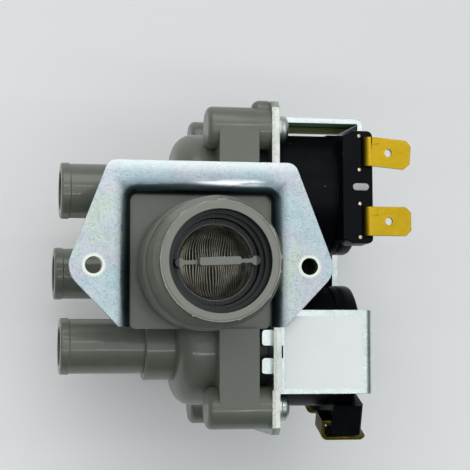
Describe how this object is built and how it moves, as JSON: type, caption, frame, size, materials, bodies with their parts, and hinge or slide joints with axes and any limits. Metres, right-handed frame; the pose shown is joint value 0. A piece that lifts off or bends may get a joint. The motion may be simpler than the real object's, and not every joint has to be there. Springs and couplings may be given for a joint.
{
  "type": "washing machine inlet valve",
  "caption": "Grey moulded water inlet valve with a threaded inlet and filter on a plated bracket, parallel hose outlets, and black solenoid coils in steel yokes with brass tabs.",
  "frame": {"origin": "on the inlet axis at the front face of the mounting bracket, midway between its two holes", "axes": "+Z out of the inlet mouth, +X from the outlets towards the coils, +Y towards the bracket's closed upper edge"},
  "size_m": [0.0747, 0.0744, 0.087],
  "materials": {
    "housing_plastic": "moulded grey, satin",
    "bracket_steel": "bright zinc plated sheet with pale passivation",
    "filter_plastic": "moulded grey",
    "filter_gauze": "fine woven wire, brownish",
    "label_paper": "plain white paper",
    "yoke_steel": "zinc plated sheet",
    "coil_plastic": "black, glossy",
    "winding_copper": "enamelled copper wire",
    "coil_cover": "black, smooth",
    "terminal_brass": "bright rolled brass",
    "guide_plastic": "black, satin",
    "armature_steel": "turned ferritic stainless steel",
    "seal_rubber": "black rubber",
    "spring_steel": "stainless wire",
    "insert_plastic": "white moulding",
    "screw_steel": "zinc plated"
  },
  "bodies": {
    "valve": {"body_housing": "housing_plastic", "mounting_bracket": "bracket_steel", "inlet_filter_frame": "filter_plastic", "inlet_filter_mesh": "filter_gauze", "label": "label_paper", "top_flange_plate": "yoke_steel", "top_yoke": "yoke_steel", "top_coil_former": "coil_plastic", "top_coil_winding": "winding_copper", "top_coil_sleeve": "coil_cover", "top_terminal_a": "terminal_brass", "top_terminal_b": "terminal_brass", "top_guide_tube": "guide_plastic", "top_return_spring": "spring_steel", "top_diaphragm": "seal_rubber", "top_screws": "screw_steel", "bottom_flange_plate": "yoke_steel", "bottom_yoke": "yoke_steel", "bottom_coil_former": "coil_plastic", "bottom_coil_winding": "winding_copper", "bottom_coil_sleeve": "coil_cover", "bottom_terminal_a": "terminal_brass", "bottom_terminal_b": "terminal_brass", "bottom_guide_tube": "guide_plastic", "bottom_return_spring": "spring_steel", "bottom_diaphragm": "seal_rubber", "bottom_screws": "screw_steel", "middle_flange_plate": "yoke_steel", "middle_yoke": "yoke_steel", "middle_coil_former": "coil_plastic", "middle_coil_winding": "winding_copper", "middle_coil_sleeve": "coil_cover", "middle_terminal_a": "terminal_brass", "middle_terminal_b": "terminal_brass", "middle_guide_tube": "guide_plastic", "middle_return_spring": "spring_steel", "middle_diaphragm": "seal_rubber", "middle_screws": "screw_steel"},
    "top_plunger": {"top_armature": "armature_steel", "top_armature_seal": "seal_rubber"},
    "top_lifter": {"top_diaphragm_insert": "insert_plastic"},
    "bottom_plunger": {"bottom_armature": "armature_steel", "bottom_armature_seal": "seal_rubber"},
    "bottom_lifter": {"bottom_diaphragm_insert": "insert_plastic"},
    "middle_plunger": {"middle_armature": "armature_steel", "middle_armature_seal": "seal_rubber"},
    "middle_lifter": {"middle_diaphragm_insert": "insert_plastic"}
  },
  "joints": [
    {"name": "top_plunger_slide", "type": "slide", "parent": "valve", "child": "top_plunger", "axis": [1, 0, 0], "range_m": [0, 0.0026], "stiffness_N_per_m": 80, "springref_m": -0.008, "deforming": ["top_return_spring"]},
    {"name": "top_lifter_slide", "type": "slide", "parent": "valve", "child": "top_lifter", "axis": [1, 0, 0], "range_m": [0, 0.0012], "deforming": ["top_diaphragm"]},
    {"name": "bottom_plunger_slide", "type": "slide", "parent": "valve", "child": "bottom_plunger", "axis": [1, 0, 0], "range_m": [0, 0.0026], "stiffness_N_per_m": 80, "springref_m": -0.008, "deforming": ["bottom_return_spring"]},
    {"name": "bottom_lifter_slide", "type": "slide", "parent": "valve", "child": "bottom_lifter", "axis": [1, 0, 0], "range_m": [0, 0.0012], "deforming": ["bottom_diaphragm"]},
    {"name": "middle_plunger_slide", "type": "slide", "parent": "valve", "child": "middle_plunger", "axis": [1, 0, 0], "range_m": [0, 0.0026], "stiffness_N_per_m": 80, "springref_m": -0.008, "deforming": ["middle_return_spring"]},
    {"name": "middle_lifter_slide", "type": "slide", "parent": "valve", "child": "middle_lifter", "axis": [1, 0, 0], "range_m": [0, 0.0012], "deforming": ["middle_diaphragm"]}
  ],
  "couplings": [
    {"joint": "top_lifter_slide", "follows": "top_plunger_slide", "ratio": 0.46},
    {"joint": "bottom_lifter_slide", "follows": "bottom_plunger_slide", "ratio": 0.46},
    {"joint": "middle_lifter_slide", "follows": "middle_plunger_slide", "ratio": 0.46}
  ]
}
